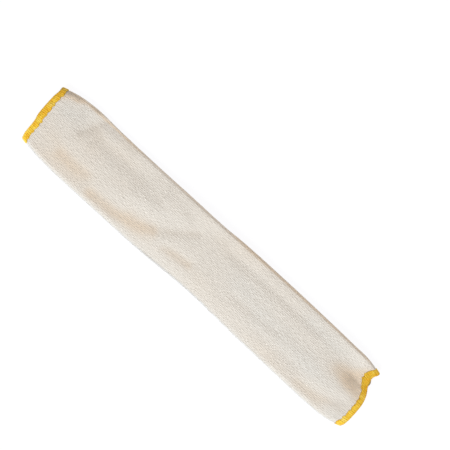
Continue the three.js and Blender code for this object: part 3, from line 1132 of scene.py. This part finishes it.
@dataclass(frozen=True)
class KnitTube:
    """The knitted tube: a sheet of V stitches rolled up and pressed flat below, with a plain inner face."""

    form: SleeveForm
    wales: int = 90
    courses: int = 244
    rows_per_course: int = 2
    pressed_share: float = 0.206
    inner_columns: int = 64
    inner_rows: int = 56
    edge_gap: float = 0.0013
    crest: float = 0.00026
    neck: float = -0.00018
    valley: float = -0.00030
    sewn_relief: float = 0.4
    inner_share: float = 0.2
    leg_spread: float = 0.10
    leg_pinch: float = 0.03
    unevenness: float = 0.00006
    floor_clearance: float = 0.00005
    seed: int = 11
    flat_width: float = 0.153
    flat_length: float = 0.447

    def rows_along(self, rows: int) -> Array:
        """Space rows evenly from edge to edge."""
        reach = self.form.half_length - self.edge_gap
        return np.linspace(-reach, reach, rows + 1)

    def stitch_columns(self) -> tuple[Array, list[StitchColumn]]:
        """Place the columns round the sleeve: three to a wale, or one where it is pressed flat below.

        Returns:
            The columns' places as shares of a turn, and what each one is.
        """
        legs = (StitchColumn.VALLEY, StitchColumn.LEFT_LEG, StitchColumn.RIGHT_LEG)
        turns = []
        columns = []
        for wale in range(self.wales):
            middle = (wale + 0.5) / self.wales
            pressed = min(middle, 1.0 - middle) < self.pressed_share
            for column in (StitchColumn.PRESSED,) if pressed else legs:
                turns.append((wale + column.value) / self.wales)
                columns.append(column)
        return np.array(turns), columns

    def stitch_relief(self, rows: int, columns: list[StitchColumn]) -> tuple[Array, Array]:
        """Work out how the V stitches stand out and lean, point by point.

        Args:
            rows: Rows of points along the sleeve.
            columns: What each column of points is.

        Returns:
            The height of each point, and its shift round the sleeve in wales.
        """
        rng = np.random.default_rng(self.seed)
        wide_row = (np.arange(rows) % self.rows_per_course == 0)[:, None]
        lean = {StitchColumn.LEFT_LEG: -1.0, StitchColumn.RIGHT_LEG: 1.0}
        outward = np.array([lean.get(column, 0.0) for column in columns])
        valleys = np.array([column is StitchColumn.VALLEY for column in columns])
        height = np.where(wide_row, self.crest, self.neck) * np.abs(outward) + self.valley * valleys
        height = height + rng.normal(0.0, self.unevenness, (rows, len(columns)))
        return height, outward * np.where(wide_row, self.leg_spread, -self.leg_pinch)

    def rolled_sheet(self, name: str, turns: Array, places: Array, warmth: Array, share: float) -> Piece:
        """Add a flat sheet, roll it into one face of the tube and close its seam.

        Args:
            name: The sheet's name.
            turns: Places of its columns as shares of a turn.
            places: Where each point of the grid goes.
            warmth: The painted shading and tone of the cloth at each point.
            share: How plainly its stitches show.

        Returns:
            The rolled sheet.
        """
        columns = len(turns)
        sheet, column, row = add_grid(name, columns, len(places) - 1)
        layer = sheet.data.uv_layers[UV_NAME]
        flat_map = np.empty(len(layer.data) * 2)
        layer.data.foreach_get("uv", flat_map)
        flat_map[0::2] = np.append(turns, 1.0 + turns[0])[np.rint(flat_map[0::2] * columns).astype(int)]
        layer.data.foreach_set("uv", flat_map)
        column = column % columns
        move_points(sheet, places[row, column])
        # The painted shading and tone that the knit's material reads.
        keep_values(sheet, "warmth", warmth[row, column])
        keep_values(sheet, "stitch_share", np.full(len(row), share))
        close_seam(sheet)
        return sheet

    def outer_face(self) -> Piece:
        """Model the outer face, stitch by stitch.

        Returns:
            The outer face, open at both ends.
        """
        along = self.rows_along(self.courses * self.rows_per_course)
        turns, columns = self.stitch_columns()
        skin = self.form.skin(along, turns)
        height, shift = self.stitch_relief(len(along), columns)
        relief = mix(self.sewn_relief, 1.0, self.form.looseness(along))
        stand = self.form.half_wall(along)[:, None] + height * relief[:, None]
        places = skin.points + skin.around * (shift * self.flat_width / self.wales)[..., None]
        places = places + skin.normals * stand[..., None]
        places[..., 2] = np.maximum(places[..., 2], self.floor_clearance)
        return self.rolled_sheet("knit_tube_cloth", turns, places, skin.warmth, 1.0)

    def inner_face(self) -> Piece:
        """Model the plain inner face.

        Returns:
            The inner face, open at both ends.
        """
        along = self.rows_along(self.inner_rows)
        turns = np.arange(self.inner_columns) / self.inner_columns
        skin = self.form.skin(along, turns)
        places = skin.points - skin.normals * self.form.half_wall(along)[:, None, None]
        return self.rolled_sheet("knit_tube_inner_face", turns, places, skin.warmth, self.inner_share)

    def close_mouth(self, tube: Piece, mouth: Mouth) -> None:
        """Bridge the raw edge between the wall's two faces at one end.

        Args:
            tube: Both faces, joined.
            mouth: The end to close.
        """
        with editing(tube):
            bpy.ops.mesh.select_mode(type="EDGE")
            bpy.ops.mesh.select_non_manifold(
                extend=False, use_wire=False, use_boundary=True, use_multi_face=False,
                use_non_contiguous=False, use_verts=False,
            )
        points = points_of(tube)
        for edge in tube.data.edges:
            if edge.select and points[edge.vertices[0], 0] * mouth.value < 0.0:
                edge.select = False
        with editing(tube, whole=False):
            bpy.ops.mesh.bridge_edge_loops()

    def build(self) -> Piece:
        """Model the tube and dress it.

        Returns:
            The finished piece.
        """
        tube = self.outer_face()
        pick(tube, self.inner_face())
        bpy.ops.object.join()
        for mouth in Mouth:
            self.close_mouth(tube, mouth)
        finish_mesh(tube, CottonKnitFinish(self.wales, self.courses).build())
        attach(tube, BODY)
        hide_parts("knit_tube")
        return tube


@dataclass(frozen=True)
class ThreadPath:
    """One piece of thread in a straight seam: points of (along the seam, from the edge, off the wall)."""

    name: str
    points: tuple[Xyz, ...]
    half_width: float
    half_thickness: float
    sides: int = 6
    map_start: float = 0.04
    map_length: float = 0.92

    def build(self) -> Piece:
        """Model the thread by drawing a ring out along its path.

        Returns:
            The thread, closed at both ends.
        """
        deselect_all()
        bpy.ops.mesh.primitive_circle_add(vertices=self.sides, radius=1.0, fill_type="NGON")
        thread = bpy.context.active_object
        thread.name = self.name
        with editing(thread):
            for _ in self.points[1:]:
                bpy.ops.mesh.extrude_region_move(TRANSFORM_OT_translate={"value": (0.0, 0.0, 1.0)})
        drawn = points_of(thread)
        ring = np.rint(drawn[:, 2]).astype(int)
        turn = np.arctan2(drawn[:, 1], drawn[:, 0]) / FULL_TURN % 1.0
        self.map_flat(thread, ring, turn)
        path = np.array(self.points)
        forward = unit(np.gradient(path, axis=0))
        sideways = np.tile((1.0, 0.0, 0.0), (len(path), 1))
        sideways = unit(sideways - forward * np.sum(sideways * forward, axis=1, keepdims=True))
        upward = np.cross(sideways, forward)
        across = sideways[ring] * (self.half_width * np.cos(FULL_TURN * turn))[:, None]
        lifted = upward[ring] * (self.half_thickness * np.sin(FULL_TURN * turn))[:, None]
        move_points(thread, path[ring] + across + lifted)
        return thread

    def map_flat(self, thread: Piece, ring: Array, turn: Array) -> None:
        """Lay the thread's own flat map: along it within one unit, and round it.

        Args:
            thread: The drawn thread.
            ring: Which ring each point is on.
            turn: Each point's place round its ring.
        """
        layer = thread.data.uv_layers.new(name=UV_NAME)
        along = self.map_start + self.map_length * ring / (len(self.points) - 1)
        for face in thread.data.polygons:
            corners = list(face.vertices)
            wraps = np.ptp(turn[corners]) > 0.5
            for loop, corner in zip(face.loop_indices, corners):
                past_seam = wraps and turn[corner] < 0.5
                layer.data[loop].uv = (along[corner], turn[corner] + 1.0 if past_seam else turn[corner])


@dataclass(frozen=True)
class OverlockHem:
    """The overlock stitching over one raw edge: looper threads, needle stitches and an edge chain."""

    form: SleeveForm
    mouth: Mouth
    finish: bpy.types.Material
    stitches: int = 70
    seam_length: float = 0.150
    # The threads, places in stitches.
    looper_slant: float = 0.24
    looper_sink: float = 0.00030
    looper_rim: float = 0.00030
    looper_half_width: float = 0.00060
    looper_half_thickness: float = 0.00036
    under_start: float = 0.50
    under_sink: float = 0.00026
    needle_inset: float = 0.0007
    needle_radius: float = 0.00026
    link_radius: float = 0.00025
    # The bed of thread under the loopers, by its distances from the edge and from the wall.
    bed_columns: int = 180
    bed_sink: float = 0.00045
    bed_gap: float = 0.0001
    bed_bevel: float = 0.0004
    bed_nose: float = 0.0011
    bed_tip: float = 0.0006
    bed_tip_share: float = 0.6
    bed_slot: float = 0.0013
    # The grid that the seam is wrapped on, and how uneven the sewing is.
    zone_rows: int = 24
    zone_columns: int = 720
    zone_depth: float = 0.0096
    border_start: float = 0.5
    lump_full: float = 0.3
    jitter: float = 0.00014
    width_jitter: float = 0.022
    height_jitter: float = 0.035
    # How deep the thread lies and where painted shade and shadow fall on it, as its material reads them,
    # with places as shares of the hem's width.
    hollow_shade: float = 0.35
    sunk_share: float = 0.45
    sunk_start: float = 0.05
    sunk_full: float = 0.25
    rim_shade: float = 1.0
    rim_reach: float = 0.12
    border_shade: float = 0.30
    border_reach: float = 0.25
    floor_clearance: float = 0.00004

    @property
    def node(self) -> str:
        """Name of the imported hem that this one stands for."""
        return f"hem_{self.mouth.name.lower()}"

    @property
    def pitch(self) -> float:
        """Length of one stitch along the seam."""
        return self.seam_length / self.stitches

    def looper(self, name: str, starts: float, sink: float) -> ThreadPath:
        """Draw one looper thread, from the needle line over the raw edge to the other face.

        Args:
            name: The thread's name.
            starts: Its place along the seam at the needle line, in stitches.
            sink: How much lower than the topmost thread it lies.

        Returns:
            The thread's path.
        """
        top = self.form.hem_outside - self.looper_sink - sink
        rim = (starts + self.looper_slant) * self.pitch
        slant = self.looper_slant * self.pitch
        outer = [(rim - slant * share, back, top + off) for share, back, off in LOOPER]
        inner = [(rim + slant * share, back, -top - off) for share, back, off in reversed(LOOPER)]
        points = (*outer, (rim, self.looper_rim + sink / 2.0, 0.0), *inner)
        return ThreadPath(name, points, self.looper_half_width, self.looper_half_thickness)

    def needle_stitch(self, face: WallFace) -> ThreadPath:
        """Draw one needle stitch along the seam's inner border, as long as two stitches of the loopers.

        Args:
            face: Which face of the wall it lies on.

        Returns:
            The stitch's path.
        """
        back = self.form.hem_width - self.needle_inset
        top = self.form.hem_outside
        points = tuple((place * self.pitch, back, face.value * (top + off)) for place, off in NEEDLE)
        name = f"needle_stitch_{face.name.lower()}"
        return ThreadPath(name, points, self.needle_radius, self.needle_radius)

    def edge_link(self) -> ThreadPath:
        """Draw one link of the chain where the loopers meet over the raw edge.

        Returns:
            The link's path.
        """
        top = self.form.hem_outside
        points = tuple((place * self.pitch, back, share * top) for place, back, share in LINK)
        return ThreadPath("edge_link", points, self.link_radius, self.link_radius)

    def repeat(self, thread: Piece, count: int, step: float) -> None:
        """Repeat one modelled thread along the straight seam.

        Args:
            thread: The thread to repeat.
            count: How many there are in all.
            step: Distance between two of them.
        """
        pick(thread)
        array = thread.modifiers.new("seam", "ARRAY")
        array.count = count
        array.use_relative_offset = False
        array.use_constant_offset = True
        array.constant_offset_displace = (step, 0.0, 0.0)
        array.offset_u = 1.0
        bpy.ops.object.modifier_apply(modifier=array.name)

    def shake(self, thread: Piece, count: int, seed: int) -> None:
        """Shift each repeated thread a little, so that no two lie alike.

        Args:
            thread: The repeated threads.
            count: How many there are.
            seed: Start of the random draws.
        """
        rng = np.random.default_rng(seed)
        points = points_of(thread)
        each = np.arange(len(points)) // (len(points) // count)
        points[:, 0] += rng.normal(0.0, self.jitter, count)[each]
        points[:, 1] *= (1.0 + rng.normal(0.0, self.width_jitter, count))[each]
        points[:, 2] *= (1.0 + rng.normal(0.0, self.height_jitter, count))[each]
        move_points(thread, points)

    def bed(self) -> Piece:
        """Model the folded bed of thread under the loopers as a closed band in the straight seam.

        Returns:
            The band, as long as the seam.
        """
        width = self.form.hem_width
        top = self.form.hem_outside - self.bed_sink
        low = self.form.sewn_wall / 2.0 + self.bed_gap
        tip = (self.bed_tip, self.bed_tip_share * top)
        outer = [(width, low), (width - self.bed_bevel, top), (self.bed_nose, top), tip]
        inner = [(back, -off) for back, off in reversed(outer)]
        shape = np.array([*outer, *inner, (self.bed_slot, -low), (self.bed_slot, low)])
        band, column, row = add_grid("thread_bed", self.bed_columns, len(shape))
        along = column / self.bed_columns * self.seam_length
        move_points(band, np.column_stack([along, shape[row % len(shape)]]))
        return band

    def zone(self) -> tuple[Skin, float]:
        """Lay a fine grid on the wall next to the mouth.

        Returns:
            The grid with its first row at the edge, and the distance between its rows.
        """
        distances = np.linspace(0.0, self.zone_depth, self.zone_rows)
        along = self.mouth.value * (self.form.half_length - distances)
        rising = slice(None, None, -self.mouth.value)
        skin = self.form.skin(along[rising], np.arange(self.zone_columns) / self.zone_columns)
        grids = (skin.points, skin.normals, skin.around, skin.warmth)
        return Skin(*(grid[rising] for grid in grids)), distances[1]

    def wrap(self, seam: Piece) -> None:
        """Wrap the straight seam round the mouth, uneven as sewn thread is.

        Args:
            seam: All the thread, joined.
        """
        skin, row_step = self.zone()
        flat = points_of(seam)
        turn = flat[:, 0] / self.seam_length
        column = turn * self.zone_columns
        back = flat[:, 1] / self.form.hem_width
        border = uneven(BORDER_WAVES, turn, self.mouth.value) * smoothstep(back, self.border_start, 1.0)
        distance = flat[:, 1] + border
        swell = HEM_SWELLS[self.mouth]
        across = skin.at(distance / row_step, column)[0][:, 1]
        wider = swell.share * bell(across - swell.across, swell.spread)
        distance = distance * (1.0 + wider * smoothstep(back, 0.0, 1.0))
        places, normals, warmth = skin.at(distance / row_step, column)
        lumps = uneven(LUMPS, turn, self.mouth.value) * smoothstep(back, 0.0, self.lump_full)
        places = places + normals * (flat[:, 2] * (1.0 + lumps))[:, None]
        places[:, 2] = np.maximum(places[:, 2], self.floor_clearance)
        move_points(seam, places)
        # Painted shading on the thread: darker where it lies low, where the sleeve is painted in shade, at
        # the rim and along the inner border, and paler where the sleeve's painted shading is below 0.
        top = self.form.hem_outside
        sunk_shade = np.clip((top - np.abs(flat[:, 2])) / (self.sunk_share * top), 0.0, 1.0)
        depth = sunk_shade * smoothstep(back, self.sunk_start, self.sunk_full) + self.hollow_shade * warmth
        depth += self.rim_shade * np.exp(-np.maximum(back, 0.0) / self.rim_reach)
        depth += self.border_shade * np.exp(-np.maximum(1.0 - back, 0.0) / self.border_reach)
        keep_values(seam, "depth", depth)

    def build(self) -> Piece:
        """Model the hem and dress it.

        Returns:
            The finished piece.
        """
        hem = self.bed()
        threads = [
            (self.looper("looper_over", 0.0, 0.0), self.stitches),
            (self.looper("looper_under", self.under_start, self.under_sink), self.stitches),
            (self.needle_stitch(WallFace.OUTER), self.stitches // 2),
            (self.needle_stitch(WallFace.INNER), self.stitches // 2),
            (self.edge_link(), self.stitches),
        ]
        sewn = []
        for seed, (path, count) in enumerate(threads):
            thread = path.build()
            self.repeat(thread, count, self.seam_length / count)
            self.shake(thread, count, seed)
            sewn.append(thread)
        pick(hem, *sewn)
        bpy.ops.object.join()
        hem.name = f"{self.node}_thread"
        hem.data.name = hem.name
        self.wrap(hem)
        close_seam(hem)
        finish_mesh(hem, self.finish)
        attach(hem, BODY)
        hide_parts(self.node)
        return hem


@dataclass(frozen=True)
class SoftLight:
    """One large square light that faces the sleeve."""

    name: str
    place: Xyz
    size: float
    power: float
    tint: Xyz

    def build(self) -> None:
        """Hang the light and turn it to the sleeve."""
        deselect_all()
        away = np.array(self.place)
        tilt = math.acos(away[2] / np.linalg.norm(away))
        swing = math.atan2(away[1], away[0]) + math.pi / 2.0
        bpy.ops.object.light_add(type="AREA", location=self.place, rotation=(tilt, 0.0, swing))
        light = bpy.context.active_object
        light.name = self.name
        light.data.size = self.size
        light.data.energy = self.power
        light.data.color = self.tint
        light.visible_camera = False


@dataclass(frozen=True)
class Studio:
    """Pale floor, soft light and a camera straight above."""

    floor_size: float = 8.0
    lens: float = 100.0
    sensor: float = 36.0
    view_width: float = 0.4644
    view_turn: float = math.radians(41.95)
    view_right: float = 0.02315
    view_up: float = 0.0325
    sleeve_top: float = 0.010
    lights: tuple[SoftLight, ...] = (
        SoftLight("soft_key", (0.40, -2.95, 2.68), 2.6, 142.0, (0.91, 0.965, 1.0)),
        SoftLight("soft_back", (-0.30, 2.80, 2.80), 3.0, 32.0, (1.0, 0.97, 0.93)),
    )
    sky_colour: Rgba = colour(1.0, 0.96, 0.91)
    sky_strength: float = 0.55
    room_colour: Rgba = colour(1.0, 1.0, 1.0)

    def build(self) -> None:
        """Set up the floor, the light and the camera."""
        self.build_floor()
        for light in self.lights:
            light.build()
        self.build_sky()
        self.build_camera()

    def build_floor(self) -> None:
        """Lay the floor just under the sleeve."""
        deselect_all()
        bpy.ops.mesh.primitive_plane_add(size=self.floor_size)
        floor = bpy.context.active_object
        floor.name = "pale_floor"
        floor.data.materials.append(FloorFinish().build())

    def build_sky(self) -> None:
        """Fill the room with even light, and show its walls white."""
        world = bpy.data.worlds.new("even_fill")
        world.use_nodes = True
        graph = NodeGraph(world.node_tree)
        sky = graph.node("ShaderNodeBackground", {"Color": self.sky_colour, "Strength": self.sky_strength})
        room = graph.node("ShaderNodeBackground", {"Color": self.room_colour})
        seen = graph.node("ShaderNodeLightPath").outputs["Is Camera Ray"]
        parts = (seen, sky.outputs["Background"], room.outputs["Background"])
        both = graph.node("ShaderNodeMixShader", dict(enumerate(parts)))
        graph.node("ShaderNodeOutputWorld", {"Surface": both.outputs["Shader"]})
        bpy.context.scene.world = world
        bpy.context.scene.view_settings.view_transform = "Standard"

    def build_camera(self) -> None:
        """Place the camera straight above, turned as the sleeve lies."""
        right = np.array((math.cos(self.view_turn), math.sin(self.view_turn)))
        up = np.array((-right[1], right[0]))
        place = right * self.view_right + up * self.view_up
        height = self.sleeve_top + self.view_width * self.lens / self.sensor
        bpy.ops.object.camera_add(location=(place[0], place[1], height), rotation=(0.0, 0.0, self.view_turn))
        camera = bpy.context.active_object
        camera.name = "view_from_above"
        camera.data.lens = self.lens
        camera.data.sensor_width = self.sensor
        bpy.context.scene.camera = camera


def report(piece: Piece) -> None:
    """Log a finished piece with its size.

    Args:
        piece: The piece to report.
    """
    triangles = sum(len(face.vertices) - 2 for face in piece.data.polygons)
    size = ", ".join(f"{1000.0 * side:.1f}" for side in piece.dimensions)
    LOG.info("%s: %d triangles, %s mm", piece.name, triangles, size)


def main() -> None:
    """Build the sleeve and its studio."""
    logging.basicConfig(level=logging.INFO, format="%(name)s: %(message)s")
    SharedEffects().build()
    form = SleeveForm()
    knit = KnitTube(form)
    tube = knit.build()
    report(tube)
    thread_finish = OverlockThreadFinish().build()
    hems = [OverlockHem(form, mouth, thread_finish).build() for mouth in Mouth]
    for hem in hems:
        report(hem)
    Studio().build()


if __name__ == "__main__":
    main()
